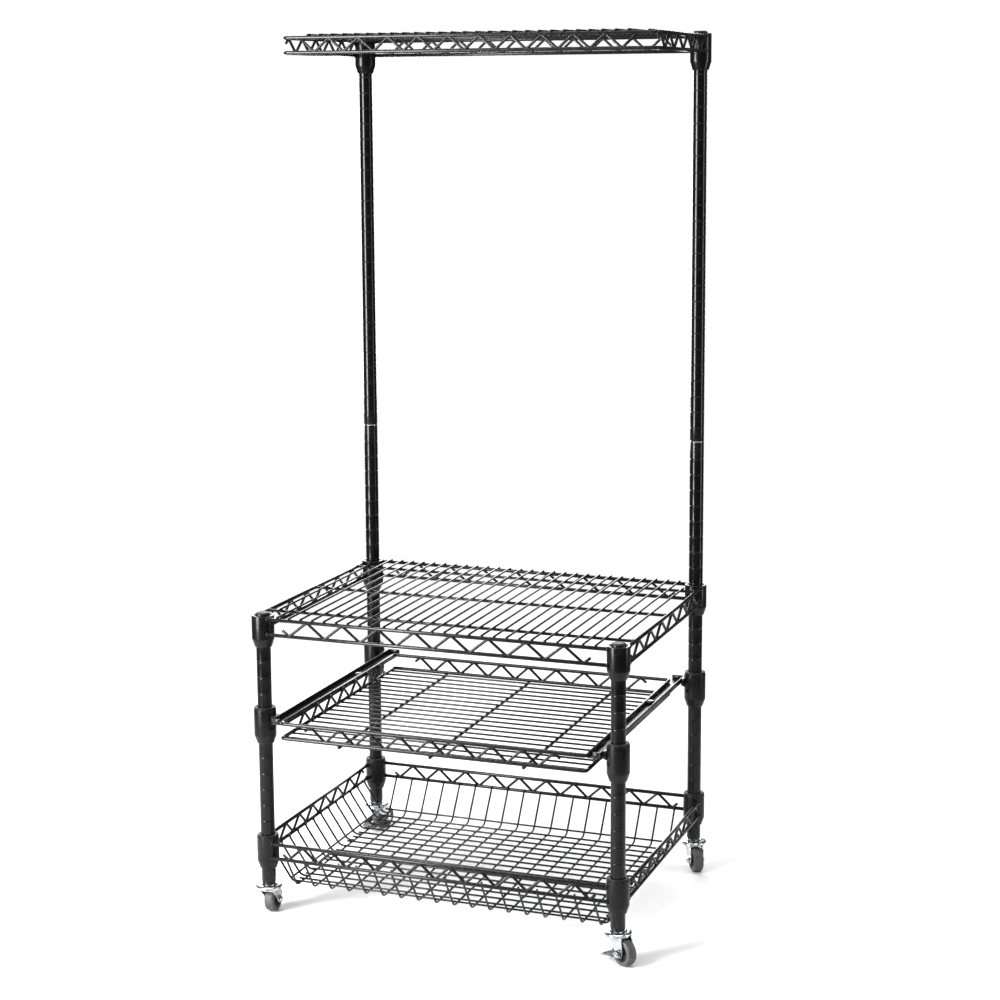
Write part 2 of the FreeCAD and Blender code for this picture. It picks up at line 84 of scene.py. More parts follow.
# ------------------------------------------------------------------ mesh tools
def round_path(pts, rad, closed=False, n=5):
    """A polyline with its corners replaced by arcs. rad is one radius or one per point."""
    P = [Vector(p) for p in pts]
    m = len(P)
    out = []
    for i, p in enumerate(P):
        r = rad[i] if isinstance(rad, (list, tuple)) else rad
        if (not closed and i in (0, m - 1)) or r <= 0:
            out.append(p)
            continue
        a, b = P[i - 1], P[(i + 1) % m]
        u, v = (p - a), (b - p)
        lu, lv = u.length, v.length
        u.normalize()
        v.normalize()
        turn = math.acos(max(-1, min(1, u.dot(v))))
        if turn < 0.02:
            out.append(p)
            continue
        lim_u = lu * (0.49 if (closed or i > 1) else 0.98)
        lim_v = lv * (0.49 if (closed or i < m - 2) else 0.98)
        d = min(r * math.tan(turn / 2), lim_u, lim_v)
        w = math.cos(turn / 2)
        p0, p1 = p - u * d, p + v * d
        for k in range(n + 1):
            t = k / n
            q = (1 - t) ** 2 + 2 * w * t * (1 - t) + t * t
            out.append((p0 * (1 - t) ** 2 + p * (2 * w * t * (1 - t)) + p1 * (t * t)) / q)
    return out


class Shape:
    """Vertices and faces of one piece, in millimetres."""

    def __init__(self):
        self.v = []
        self.f = []

    def put(self, verts, faces):
        n = len(self.v)
        self.v.extend(verts)
        self.f.extend(tuple(i + n for i in f) for f in faces)

    def tube(self, pts, r, seg=10, closed=False, cap="round"):
        P = [Vector(p) for p in pts]
        n = len(P)
        T = []
        for i in range(n):
            if closed:
                t = (P[(i + 1) % n] - P[i]).normalized() + (P[i] - P[i - 1]).normalized()
            elif i == 0:
                t = P[1] - P[0]
            elif i == n - 1:
                t = P[-1] - P[-2]
            else:
                t = (P[i + 1] - P[i]).normalized() + (P[i] - P[i - 1]).normalized()
            T.append(t.normalized())
        ref = Vector((0, 0, 1)) if abs(T[0].z) < 0.9 else Vector((1, 0, 0))
        N = (ref - T[0] * ref.dot(T[0])).normalized()
        frames = []
        for i in range(n):
            N = (N - T[i] * N.dot(T[i])).normalized()
            frames.append((P[i], N.copy(), T[i].cross(N)))
        rings = []
        if not closed and cap == "round":
            p, a, b = frames[0]
            for s in (0.95, 0.6):
                rings.append((p - T[0] * (r * s * 0.9), a, b, r * math.sqrt(1 - s * s)))
        elif not closed and cap == "chamfer":
            p, a, b = frames[0]
            rings.append((p, a, b, r * 0.82))
            frames[0] = (p + T[0] * (r * 0.18), a, b)
        tail = []
        if not closed and cap == "round":
            p, a, b = frames[-1]
            for s in (0.6, 0.95):
                tail.append((p + T[-1] * (r * s * 0.9), a, b, r * math.sqrt(1 - s * s)))
        elif not closed and cap == "chamfer":
            p, a, b = frames[-1]
            tail.append((p, a, b, r * 0.82))
            frames[-1] = (p - T[-1] * (r * 0.18), a, b)
        rings += [(p, a, b, r) for p, a, b in frames] + tail
        verts = []
        for p, a, b, rr in rings:
            for k in range(seg):
                t = 2 * math.pi * k / seg
                verts.append(p + a * (rr * math.cos(t)) + b * (rr * math.sin(t)))
        faces = []
        m = len(rings)
        for i in range(m if closed else m - 1):
            j = (i + 1) % m
            for k in range(seg):
                l = (k + 1) % seg
                faces.append((i * seg + k, i * seg + l, j * seg + l, j * seg + k))
        if not closed:
            faces.append(tuple(reversed(range(seg))))
            faces.append(tuple((m - 1) * seg + k for k in range(seg)))
        self.put(verts, faces)

    def lathe(self, prof, x=0.0, y=0.0, seg=48, loop=True, a0=0.0, a1=2 * math.pi, axis="z", radial=None):
        """Turns (radius, along) points. loop joins the last point to the first. axis y turns about a line along Y through (x, z=y)."""
        full = a1 - a0 > 2 * math.pi - 1e-6
        steps = seg if full else seg + 1
        verts, rows = [], []
        for r, z in prof:
            if r < 1e-6:
                rows.append([len(verts)])
                verts.append(Vector((x, y, z)) if axis == "z" else Vector((x, z, y)))
                continue
            row = []
            for k in range(steps):
                t = a0 + (a1 - a0) * k / seg
                rr = r if radial is None else r * radial(t, r, z)
                row.append(len(verts))
                if axis == "z":
                    verts.append(Vector((x + rr * math.cos(t), y + rr * math.sin(t), z)))
                else:
                    verts.append(Vector((x + rr * math.sin(t), z, y + rr * math.cos(t))))
            rows.append(row)
        faces = []
        n = len(rows)
        for i in range(n if loop else n - 1):
            A, B = rows[i], rows[(i + 1) % n]
            for k in range(seg):
                l = (k + 1) % steps if full else k + 1
                if len(A) == 1 and len(B) == 1:
                    break
                if len(A) == 1:
                    faces.append((A[0], B[l], B[k]))
                elif len(B) == 1:
                    faces.append((A[k], A[l], B[0]))
                else:
                    faces.append((A[k], A[l], B[l], B[k]))
        if not full:
            faces.append(tuple(r[0] for r in rows))
            faces.append(tuple(r[-1] for r in reversed(rows)))
        self.put(verts, faces)

    def prism(self, outline, y0, y1, bevel=0.3, place=None):
        """Extrudes a closed (a, b) outline from y0 to y1 with a small chamfer round both ends. place maps (a, y, b) to a point."""
        place = place or (lambda a, y, b: Vector((a, y, b)))
        n = len(outline)
        area = sum(outline[i][0] * outline[(i + 1) % n][1] - outline[(i + 1) % n][0] * outline[i][1] for i in range(n))
        sg = 1 if area > 0 else -1
        inset = []
        for i in range(n):
            p, a, b = Vector(outline[i][:2]), Vector(outline[i - 1][:2]), Vector(outline[(i + 1) % n][:2])
            u, v = (p - a), (b - p)
            if u.length < 1e-6 or v.length < 1e-6:
                inset.append((p.x, p.y))
                continue
            u.normalize()
            v.normalize()
            nu, nv = Vector((-u.y, u.x)) * sg, Vector((-v.y, v.x)) * sg
            m = nu + nv
            if m.length < 1e-6:
                m = nu
            m = m / max(0.5, m.dot(nu))
            inset.append((p.x + m.x * bevel, p.y + m.y * bevel))
        rows = [(inset, y0), (outline, y0 + bevel), (outline, y1 - bevel), (inset, y1)]
        verts = [place(a, y, b) for o, y in rows for a, b in [(q[0], q[1]) for q in o]]
        faces = []
        for i in range(3):
            for k in range(n):
                l = (k + 1) % n
                faces.append((i * n + k, i * n + l, (i + 1) * n + l, (i + 1) * n + k))
        faces.append(tuple(reversed(range(n))))
        faces.append(tuple(3 * n + k for k in range(n)))
        self.put(verts, faces)

    def rbox(self, x0, x1, y0, y1, z0, z1, r=0.5, place=None):
        """A box with rounded long edges and chamfered ends."""
        o = round_path([(x0, z0, 0), (x1, z0, 0), (x1, z1, 0), (x0, z1, 0)], r, closed=True, n=3)
        self.prism([(p.x, p.y) for p in o], y0, y1, min(r, 0.4 * (y1 - y0)), place)

    def blob(self, c, rx, ry, rz, seg=8, rows=5):
        """A weld bead: a small flattened swelling."""
        c = Vector(c)
        verts = [c + Vector((0, 0, rz))]
        for i in range(1, rows):
            a = math.pi * i / rows
            for k in range(seg):
                t = 2 * math.pi * k / seg
                verts.append(c + Vector((rx * math.sin(a) * math.cos(t), ry * math.sin(a) * math.sin(t), rz * math.cos(a))))
        verts.append(c - Vector((0, 0, rz)))
        faces = [(0, 1 + k, 1 + (k + 1) % seg) for k in range(seg)]
        for i in range(rows - 2):
            for k in range(seg):
                l = (k + 1) % seg
                faces.append((1 + i * seg + k, 1 + (i + 1) * seg + k, 1 + (i + 1) * seg + l, 1 + i * seg + l))
        last = len(verts) - 1
        base = 1 + (rows - 2) * seg
        faces += [(base + (k + 1) % seg, base + k, last) for k in range(seg)]
        self.put(verts, faces)

    def moved(self, M, start=0):
        for i in range(start, len(self.v)):
            self.v[i] = M @ self.v[i]


BODY = {}
for body, names in frame["record"]["behaviour"]["bodies"].items():
    for n in names:
        BODY[n] = body
MATS = {}


def make(name, shape, nodes, slot, sharp=38.0, material=None):
    """Turns a Shape into a Blender piece that rides with its CAD nodes' body and stands for them."""
    nodes = [nodes] if isinstance(nodes, str) else nodes
    me = bpy.data.meshes.new(name)
    me.from_pydata([(p.x * 0.001, p.y * 0.001, p.z * 0.001) for p in shape.v], [], shape.f)
    me.validate()
    me.update()
    bm = bmesh.new()
    bm.from_mesh(me)
    bmesh.ops.recalc_face_normals(bm, faces=bm.faces)
    bm.to_mesh(me)
    bm.free()
    me.polygons.foreach_set("use_smooth", [True] * len(me.polygons))
    me.set_sharp_from_angle(angle=math.radians(sharp))
    me.materials.append(MATS[material or slot])
    ob = bpy.data.objects.new(name, me)
    bpy.context.scene.collection.objects.link(ob)
    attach(ob, BODY[nodes[0]])
    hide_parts(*nodes)
    return ob


# ------------------------------------------------------------------ materials
class Tree:
    def __init__(self, name):
        self.mat = bpy.data.materials.new(name)
        self.mat.use_nodes = True
        self.t = self.mat.node_tree
        self.bsdf = self.t.nodes["Principled BSDF"]
        self.pos = self.new("ShaderNodeTexCoord").outputs["Object"]
        self.geo = self.new("ShaderNodeNewGeometry")

    def new(self, kind, **kw):
        n = self.t.nodes.new(kind)
        for k, v in kw.items():
            setattr(n, k, v)
        return n

    def link(self, a, b):
        self.t.links.new(a, b)

    def noise(self, scale, detail=4.0, rough=0.5, stretch=None, distort=0.0):
        n = self.new("ShaderNodeTexNoise")
        n.inputs["Scale"].default_value = scale
        n.inputs["Detail"].default_value = detail
        n.inputs["Roughness"].default_value = rough
        n.inputs["Distortion"].default_value = distort
        if stretch:
            m = self.new("ShaderNodeMapping")
            m.inputs["Scale"].default_value = stretch
            self.link(self.pos, m.inputs["Vector"])
            self.link(m.outputs["Vector"], n.inputs["Vector"])
        else:
            self.link(self.pos, n.inputs["Vector"])
        return n.outputs["Fac"]

    def remap(self, sock, a, b, c, d):
        n = self.new("ShaderNodeMapRange")
        n.clamp = True
        for i, v in enumerate((a, b, c, d)):
            n.inputs[i + 1].default_value = v
        self.link(sock, n.inputs[0])
        return n.outputs[0]

    def math(self, op, a, b):
        n = self.new("ShaderNodeMath", operation=op)
        for i, v in enumerate((a, b)):
            if hasattr(v, "links"):
                self.link(v, n.inputs[i])
            else:
                n.inputs[i].default_value = v
        return n.outputs[0]

    def mix(self, fac, a, b):
        n = self.new("ShaderNodeMix", data_type="RGBA")
        self.link(fac, n.inputs["Factor"])
        for key, v in (("A", a), ("B", b)):
            s = [i for i in n.inputs if i.name == key and i.type == "RGBA"][0]
            if hasattr(v, "links"):
                self.link(v, s)
            else:
                s.default_value = (*v, 1.0)
        return [o for o in n.outputs if o.type == "RGBA"][0]

    def bump(self, sock, dist, strength=1.0, after=None):
        n = self.new("ShaderNodeBump")
        n.inputs["Strength"].default_value = strength
        n.inputs["Distance"].default_value = dist
        self.link(sock, n.inputs["Height"])
        if after is not None:
            self.link(after, n.inputs["Normal"])
        return n.outputs["Normal"]

    def worn(self, lo=0.515, hi=0.56):
        """Raised edges, broken up, where the finish is rubbed."""
        edge = self.remap(self.geo.outputs["Pointiness"], lo, hi, 0.0, 1.0)
        spots = self.remap(self.noise(260.0, 5.0, 0.65), 0.42, 0.62, 0.0, 1.0)
        return self.math("MULTIPLY", edge, spots)

    def dust(self, amount):
        """A little dust on faces that look up."""
        sep = self.new("ShaderNodeSeparateXYZ")
        self.link(self.geo.outputs["Normal"], sep.inputs[0])
        up = self.remap(sep.outputs["Z"], 0.35, 1.0, 0.0, 1.0)
        spots = self.remap(self.noise(55.0, 6.0, 0.7), 0.35, 0.75, 0.15, 1.0)
        return self.math("MULTIPLY", self.math("MULTIPLY", up, spots), amount)


def coated(name, dark, light, rough=(0.16, 0.28), coat=0.10, coat_rough=0.10, peel=0.00003, peel_scale=850.0,
           edge=(0.07, 0.07, 0.073), wear=0.5, dust=0.06, spec=0.30, tone_scale=22.0):
    t = Tree(name)
    tone = t.remap(t.noise(tone_scale, 6.0, 0.6), 0.3, 0.7, 0.0, 1.0)
    col = t.mix(tone, dark, light)
    speck = t.remap(t.noise(1900.0, 2.0, 0.5), 0.6, 0.72, 0.0, 0.55)
    col = t.mix(speck, col, tuple(c * 2.4 for c in light))
    w = t.math("MULTIPLY", t.worn(), wear)
    col = t.mix(w, col, edge)
    d = t.dust(dust)
    col = t.mix(d, col, (0.32, 0.31, 0.30))
    t.link(col, t.bsdf.inputs["Base Color"])
    r = t.remap(t.noise(95.0, 5.0, 0.6), 0.3, 0.7, rough[0], rough[1])
    r = t.math("ADD", r, t.math("MULTIPLY", w, 0.25))
    r = t.math("ADD", r, t.math("MULTIPLY", d, 1.2))
    t.link(r, t.bsdf.inputs["Roughness"])
    n = t.bump(t.noise(peel_scale, 3.0, 0.45), peel)
    n = t.bump(t.noise(130.0, 3.0, 0.5), peel * 2.0, after=n)
    t.link(n, t.bsdf.inputs["Normal"])
    t.bsdf.inputs["Coat Weight"].default_value = coat
    t.bsdf.inputs["Coat Roughness"].default_value = coat_rough
    t.bsdf.inputs["Specular IOR Level"].default_value = spec
    MATS[name] = t.mat


coated("post_black", (0.0022, 0.0022, 0.0024), (0.006, 0.006, 0.0064), rough=(0.15, 0.25), wear=0.6, dust=0.02)
coated("wire_black", (0.0025, 0.0025, 0.0028), (0.008, 0.008, 0.0085), rough=(0.16, 0.30), peel=0.00002, wear=0.25, dust=0.05)
coated("collar_black", (0.002, 0.002, 0.0022), (0.006, 0.006, 0.0065), rough=(0.18, 0.32), wear=0.7, dust=0.04, peel=0.00004)
coated("rail_black", (0.003, 0.003, 0.0033), (0.009, 0.009, 0.0095), rough=(0.22, 0.36), wear=0.5, dust=0.06, tone_scale=30.0)
coated("plastic_black", (0.006, 0.006, 0.006), (0.014, 0.014, 0.0145), rough=(0.38, 0.55), coat=0.0, peel=0.00004, peel_scale=2200.0, wear=0.2,
       edge=(0.05, 0.05, 0.05), dust=0.15)
coated("pedal_black", (0.008, 0.008, 0.0085), (0.022, 0.022, 0.023), rough=(0.3, 0.5), wear=0.8, edge=(0.25, 0.25, 0.25), dust=0.2)
coated("hub_plastic", (0.012, 0.012, 0.0125), (0.03, 0.03, 0.031), rough=(0.35, 0.55), coat=0.0, peel=0.00004, peel_scale=1800.0, wear=0.3,
       edge=(0.08, 0.08, 0.08), dust=0.25)


def zinc(name):
    t = Tree(name)
    patches = t.remap(t.noise(70.0, 6.0, 0.62, distort=0.6), 0.35, 0.68, 0.0, 1.0)
    col = t.mix(patches, (0.42, 0.43, 0.45), (0.74, 0.75, 0.76))
    blue = t.remap(t.noise(26.0, 3.0, 0.5), 0.45, 0.7, 0.0, 0.5)
    col = t.mix(blue, col, (0.62, 0.68, 0.76))
    # painted shade: hollows and creases (low pointiness) are darkened towards (0.10, 0.095, 0.09), broken up by noise;
    # the same mask also raises roughness there
    cavity_shade = t.remap(t.geo.outputs["Pointiness"], 0.40, 0.49, 0.7, 0.0)
    cavity_shade = t.math("MULTIPLY", cavity_shade, t.remap(t.noise(180.0, 5.0, 0.7), 0.3, 0.6, 0.2, 1.0))
    col = t.mix(cavity_shade, col, (0.10, 0.095, 0.09))
    t.link(col, t.bsdf.inputs["Base Color"])
    r = t.remap(t.noise(240.0, 5.0, 0.65, stretch=(1.0, 1.0, 6.0)), 0.3, 0.7, 0.12, 0.3)
    r = t.math("ADD", r, t.math("MULTIPLY", cavity_shade, 0.3))
    t.link(r, t.bsdf.inputs["Roughness"])
    t.bsdf.inputs["Metallic"].default_value = 1.0
    t.link(t.bump(t.noise(700.0, 4.0, 0.6), 0.00002), t.bsdf.inputs["Normal"])
    MATS[name] = t.mat


def rubber(name):
    t = Tree(name)
    tone = t.remap(t.noise(90.0, 6.0, 0.65), 0.3, 0.7, 0.0, 1.0)
    col = t.mix(tone, (0.045, 0.045, 0.046), (0.10, 0.10, 0.102))
    scuff = t.remap(t.noise(420.0, 6.0, 0.75), 0.52, 0.68, 0.0, 0.6)
    col = t.mix(scuff, col, (0.20, 0.197, 0.193))
    w = t.math("MULTIPLY", t.worn(0.51, 0.55), 0.5)
    col = t.mix(w, col, (0.33, 0.325, 0.32))
    t.link(col, t.bsdf.inputs["Base Color"])
    t.link(t.remap(t.noise(150.0, 5.0, 0.6), 0.3, 0.7, 0.36, 0.6), t.bsdf.inputs["Roughness"])
    n = t.bump(t.noise(1500.0, 4.0, 0.6), 0.00004)
    t.link(t.bump(t.noise(220.0, 4.0, 0.6), 0.00008, after=n), t.bsdf.inputs["Normal"])
    MATS[name] = t.mat


zinc("zinc")
rubber("tyre_grey")

# ------------------------------------------------------------------ posts
def groove(z):
    """One ring groove, from below to above, with its rolled lips."""
    return [(POST_R, z - 1.5), (POST_R + 0.03, z - 1.1), (POST_R - 0.05, z - 0.85), (POST_R - 0.36, z - 0.5), (POST_R - 0.45, z - 0.2),
            (POST_R - 0.45, z + 0.2), (POST_R - 0.36, z + 0.5), (POST_R - 0.05, z + 0.85), (POST_R + 0.03, z + 1.1), (POST_R, z + 1.5)]


def post(name, x, y, z0, z1):
    s = Shape()
    prof = [(TUBE_IN, z0 + 0.3), (TUBE_IN + 0.2, z0), (POST_R - 0.3, z0), (POST_R - 0.08, z0 + 0.1), (POST_R, z0 + 0.4)]
    k = 1
    while POST_Z0 + k * U < z1 - 6:
        z = POST_Z0 + k * U
        if z > z0 + 6:
            prof += groove(z)
        k += 1
    prof += [(POST_R, z1 - 0.4), (POST_R - 0.08, z1 - 0.1), (POST_R - 0.3, z1), (TUBE_IN + 0.2, z1), (TUBE_IN, z1 - 0.3)]
    s.lathe(prof, x, y, 44)
    make("skin_" + name, s, name, "post_black", sharp=50)


post("post_front_left", -HX, -HY, POST_Z0, FRONT_TOP)
post("post_front_right", HX, -HY, POST_Z0, FRONT_TOP)
post("post_rear_left_lower", -HX, HY, POST_Z0, JOINT_Z - RING)
post("post_rear_right_lower", HX, HY, POST_Z0, JOINT_Z - RING)
post("post_rear_left_upper", -HX, HY, JOINT_Z + RING, REAR_TOP)
post("post_rear_right_upper", HX, HY, JOINT_Z + RING, REAR_TOP)

s = Shape()
for x in (-HX, HX):
    prof = [(0, JOINT_Z - 26), (TUBE_IN - 1.2, JOINT_Z - 26), (TUBE_IN - 0.1, JOINT_Z - 24), (TUBE_IN - 0.1, JOINT_Z - RING + 0.02),
            (POST_R - 0.35, JOINT_Z - RING + 0.02), (POST_R - 0.05, JOINT_Z - RING * 0.5), (POST_R + 0.08, JOINT_Z), (POST_R - 0.05, JOINT_Z + RING * 0.5),
            (POST_R - 0.35, JOINT_Z + RING - 0.02), (TUBE_IN - 0.1, JOINT_Z + RING - 0.02)]
    z = JOINT_Z + 2.5
    while z < JOINT_Z + 23:
        prof += [(TUBE_IN - 0.1, z), (TUBE_IN - 0.8, z + 0.75), (TUBE_IN - 0.1, z + 1.5)]
        z += 1.75
    prof += [(TUBE_IN - 1.2, JOINT_Z + 26), (0, JOINT_Z + 26)]
    s.lathe(prof, x, HY, 44, loop=False)
make("skin_post_joint_studs", s, "post_joint_studs", "zinc")

s = Shape()
for x, y in corners():
    z = FRONT_TOP if y < 0 else REAR_TOP
    dome = round_path([(POST_R, z + 0.02, 0), (POST_R, z + 1.2, 0), (POST_R - 2.6, z + 2.3, 0), (0, z + 2.4, 0)], [0, 0.9, 2.5, 0], n=4)
    prof = [(0, z - 14), (TUBE_IN - 0.6, z - 14), (TUBE_IN - 0.1, z - 12), (TUBE_IN - 0.1, z + 0.02)] + [(max(0.0, p.x), p.y) for p in dome]
    s.lathe(prof, x, y, 44, loop=False)
make("skin_post_caps", s, "post_caps", "plastic_black")

s = Shape()
for x, y in corners():
    s.lathe([(STEM_R + 0.1, POST_Z0 + 0.3), (STEM_R + 0.4, POST_Z0), (TUBE_IN - 0.4, POST_Z0), (TUBE_IN - 0.1, POST_Z0 + 0.3), (TUBE_IN - 0.1, POST_Z0 + 26),
             (STEM_R + 0.1, POST_Z0 + 26)], x, y, 36)
make("skin_stem_inserts", s, "stem_inserts", "zinc")

# ------------------------------------------------------------------ collars and sleeves
def collar(s, x, y, zs):
    z0, z1, z2 = zs
    pts = [(SLEEVE_R - 2.3, z0 + 0.3, 0), (SLEEVE_R - 1.2, z0, 0), (SLEEVE_R - 0.6, z0 + 0.9, 0), (COLLAR_R, z1, 0), (COLLAR_R, z2, 0),
           (COLLAR_BORE, z2, 0), (COLLAR_BORE, z0 + 5.2, 0), (SLEEVE_R - 2.3, z0 + 5.2, 0)]
    prof = round_path(pts, [0.2, 0.3, 1.0, 9.0, 0.7, 0.5, 0, 0], closed=True, n=5)
    s.lathe([(p.x, p.y) for p in prof], x, y, 48)


def collars(name, places, zs, lug=False):
    s = Shape()
    for x, y in places:
        collar(s, x, y, zs)
        if lug:
            sg = 1 if x > 0 else -1
            a, b = sorted((sg * (SLIDE_OUT + 0.02), sg * (HX - 14.8)))
            s.rbox(a, b, y - 9, y + 9, 311.0, SLIDE_TOP, r=1.0)
            # weld round the lug's root
            root = sg * (HX - 16.3)
            s.tube(round_path([(root, y - 9.4, 311.2), (root, y - 9.4, 322.8), (root, y + 9.4, 322.8), (root, y + 9.4, 311.2)], 1.5, n=3), 1.3, 8)
    make("skin_" + name, s, name, "collar_black", sharp=42)


collars("table_collars", corners(), C_TABLE)
collars("basket_collars", corners(), C_BASKET)
collars("top_shelf_collars", corners(sy=(1,)), C_TOP)
collars("slide_rail_collars", corners(), C_RAIL, lug=True)

s = Shape()
for zs, lip, places in ((C_TABLE, False, corners()), (C_RAIL, True, corners()), (C_BASKET, True, corners()), (C_TOP, False, corners(sy=(1,)))):
    z0, z1, z2 = zs
    top = z2 + 2.6 if lip else z2 - 0.3
    pts = [(SLEEVE_BORE, z0 + 5.3, 0), (SLEEVE_R - 0.02, z0 + 5.3, 0)]
    rad = [0, 0]
    if lip:
        pts += [(SLEEVE_R - 0.02, z2 + 0.12, 0), (COLLAR_R - 0.8, z2 + 0.12, 0), (COLLAR_R - 0.8, top, 0), (SLEEVE_BORE, top, 0)]
        rad += [0, 0.3, 0.9, 0.4]
    else:
        pts += [(SLEEVE_R - 0.02, top, 0), (SLEEVE_BORE, top, 0)]
        rad += [0.4, 0.3]
    prof = [(p.x, p.y) for p in round_path(pts, rad, closed=True, n=3)]
    gap = 0.3 / 14.0
    for x, y in places:
        s.lathe(prof, x, y, 26, a0=gap, a1=math.pi - gap)
        s.lathe(prof, x, y, 26, a0=math.pi + gap, a1=2 * math.pi - gap)
make("skin_post_sleeves", s, "post_sleeves", "plastic_black")

# ------------------------------------------------------------------ trusses
END = HX - 12.3     # a front truss's wires end inside the collars' walls
ENDY = HY - 12.3


def truss(name, axis, at, c, span, z_top, h, pitch, n_half, first_up, inner=0.0, stubs=True, rails=None, collared=(True, True), extra=None, slot="wire_black"):
    """Two rails with one bent wire between them. span: (low end, high end) of the rails along the run, measured from c."""
    s = Shape()

    def P(t, z, off=0.0):
        return Vector((c + t, at + off, z)) if axis == "x" else Vector((at + off, c + t, z))
    zb = z_top - h
    for z in (z_top, zb):
        if rails is not None:
            s.tube(rails(z), RAIL_R, 12, cap="chamfer")
        else:
            s.tube([P(span[0], z), P(span[1], z)], RAIL_R, 12, cap="chamfer")
        for on, t in zip(collared, (span[0] + 0.7, span[1] - 0.7)):
            if on:
                rx, ry = (2.6, 4.1) if axis == "x" else (4.1, 2.6)
                s.blob(P(t, z), rx, ry, 4.1, 12, 8)
    pts = []
    up = first_up
    t = -n_half * pitch / 4
    verts = []
    for i in range(n_half + 1):
        verts.append((t, up))
        t += pitch / 2
        up = not up
    for i, (t, up) in enumerate(verts):
        pts.append(P(t, (z_top - 0.3) if up else (zb + 0.3), inner))
    if stubs:
        (ta, ua), (tb, ub) = verts[0], verts[-1]
        pts.insert(0, P(ta - pitch * 0.19, (z_top if ua else zb) + (-1 if ua else 1) * h * 0.36, inner))
        pts.append(P(tb + pitch * 0.19, (z_top if ub else zb) + (-1 if ub else 1) * h * 0.36, inner))
    s.tube(round_path(pts, 4.6, n=4), ZIG_R, 10, cap="chamfer")
    for t, up in verts:
        zz = (z_top - 0.9) if up else (zb + 0.9)
        q = P(t, zz, inner * 0.55)
        if axis == "x":
            s.blob(q, 4.2, 2.75 if not inner else 3.2, 2.3, 8, 5)
        else:
            s.blob(q, 2.75 if not inner else 3.0, 4.2, 2.3, 8, 5)
    if extra:
        extra(s)
    make("skin_" + name, s, name, slot, sharp=55)


for nm, sg in (("front", -1), ("rear", 1)):
    truss(f"table_{nm}_truss", "x", sg * SY, 0, (-END, END), TABLE_Z, TABLE_H, TABLE_PITCH, 16, False)
    truss(f"basket_{nm}_truss", "x", sg * SY, 0, (-END, END), BASKET_Z, BASKET_H, PITCH, 20, False)
for nm, sg in (("left", -1), ("right", 1)):
    truss(f"table_{nm}_truss", "y", sg * SX, 0, (-ENDY, ENDY), TABLE_Z, TABLE_H, TABLE_PITCH, 12, False)
    truss(f"basket_{nm}_truss", "y", sg * SX, 0, (-ENDY, ENDY), BASKET_Z, BASKET_H, PITCH, 14, True)

mid = (SHELF_FRONT + HY) / 2
run = (HY - SHELF_FRONT) / 2
truss("top_front_truss", "x", SHELF_FRONT, 0, (-SX, SX), SHELF_Z, SHELF_H, PITCH, 22, True, stubs=False, collared=(False, False),
      rails=lambda z: round_path([(-SX, SHELF_FRONT + 10, z), (-SX, SHELF_FRONT, z), (SX, SHELF_FRONT, z), (SX, SHELF_FRONT + 10, z)], 7.0, n=6))
truss("top_rear_truss", "x", SY, 0, (-END, END), SHELF_Z, SHELF_H, PITCH, 20, False)
for nm, sg in (("left", -1), ("right", 1)):
    truss(f"top_{nm}_truss", "y", sg * SX, mid, (-run + 9.0, run - 12.3), SHELF_Z, SHELF_H, PITCH, 10, True, collared=(False, True))

TC = (TRAY_Y0 + TRAY_Y1) / 2
TH = (TRAY_Y1 - TRAY_Y0) / 2
OFF = RAIL_R + ZIG_R - 0.9
for nm, y, dy in (("front", TRAY_Y0, 9.0), ("rear", TRAY_Y1, -9.0)):
    truss(f"tray_{nm}_truss", "x", y, 0, (-TRAY_HX, TRAY_HX), TZ, TRAY_H, PITCH, 16, True, collared=(False, False),
          rails=lambda z, y=y, dy=dy: round_path([(-TRAY_HX, y + dy, z), (-TRAY_HX, y, z), (TRAY_HX, y, z), (TRAY_HX, y + dy, z)], 6.0, n=6))
for nm, sg in (("left", -1), ("right", 1)):
    def clip(s, sg=sg):
        a, b = sorted((sg * (TRAY_HX - 0.5), sg * 257.4))
        s.rbox(a, b, 62.2, 73.8, FL_TOP + 0.85, TZ + 2.1, r=0.9)
        s.tube([(sg * (TRAY_HX + 2.4), 62.5, TZ + 1.8), (sg * (TRAY_HX + 2.4), 73.5, TZ + 1.8)], 0.9, 8)
    truss(f"tray_{nm}_truss", "y", sg * TRAY_HX, TC, (-TH + 8.0, TH - 8.0), TZ, TRAY_H, PITCH, 14, False, inner=-sg * OFF, stubs=False,
          collared=(False, False), extra=clip)

# ------------------------------------------------------------------ shelf surfaces
rnd = random.Random(7)


def mat(name, z_rail, y0, y1, step, n, cross_y, hx):
    zm = z_rail + RAIL_R * AP + MAT_R * AP - 0.15
    zc = zm - (MAT_R + CROSS_R) * AP + WELD
    s = Shape()
    for k in range(-n, n + 1):
        a, b = (y0, y1) if abs(k) < n else (cross_y[0] - 5, cross_y[-1] + 5)
        x = k * step + rnd.uniform(-0.3, 0.3)
        x2 = k * step + rnd.uniform(-0.3, 0.3)
        s.tube([(x, a, zm), (x2, b, zm)], MAT_R, 8, cap="round")
        ys = list(cross_y) + ([y0 + 1.5, y1 - 1.5] if abs(k) < n else [])
        for y in ys:
            xx = x + (x2 - x) * (y - a) / (b - a)
            s.blob((xx, y, zm - 1.35), 2.35, 2.7, 1.25)
    for y in cross_y:
        s.tube([(-hx + 1.2, y, zc), (hx - 1.2, y, zc)], CROSS_R, 10, cap="chamfer")
        for sg in (-1, 1):
            s.blob((sg * (hx - 2.6), y, zc), 2.6, 3.2, 3.0)
    make("skin_" + name, s, name, "wire_black", sharp=55)


mat("table_mat", TABLE_Z, -SY - 1.5, SY + 1.5, 0.773 * U, 14, (-6.6 * U, 0.0, 6.6 * U), SX)
mat("top_mat", SHELF_Z, SHELF_FRONT - 1.5, SY + 1.5, 0.773 * U, 14, (SHELF_FRONT + 42, mid, SY - 66), SX)

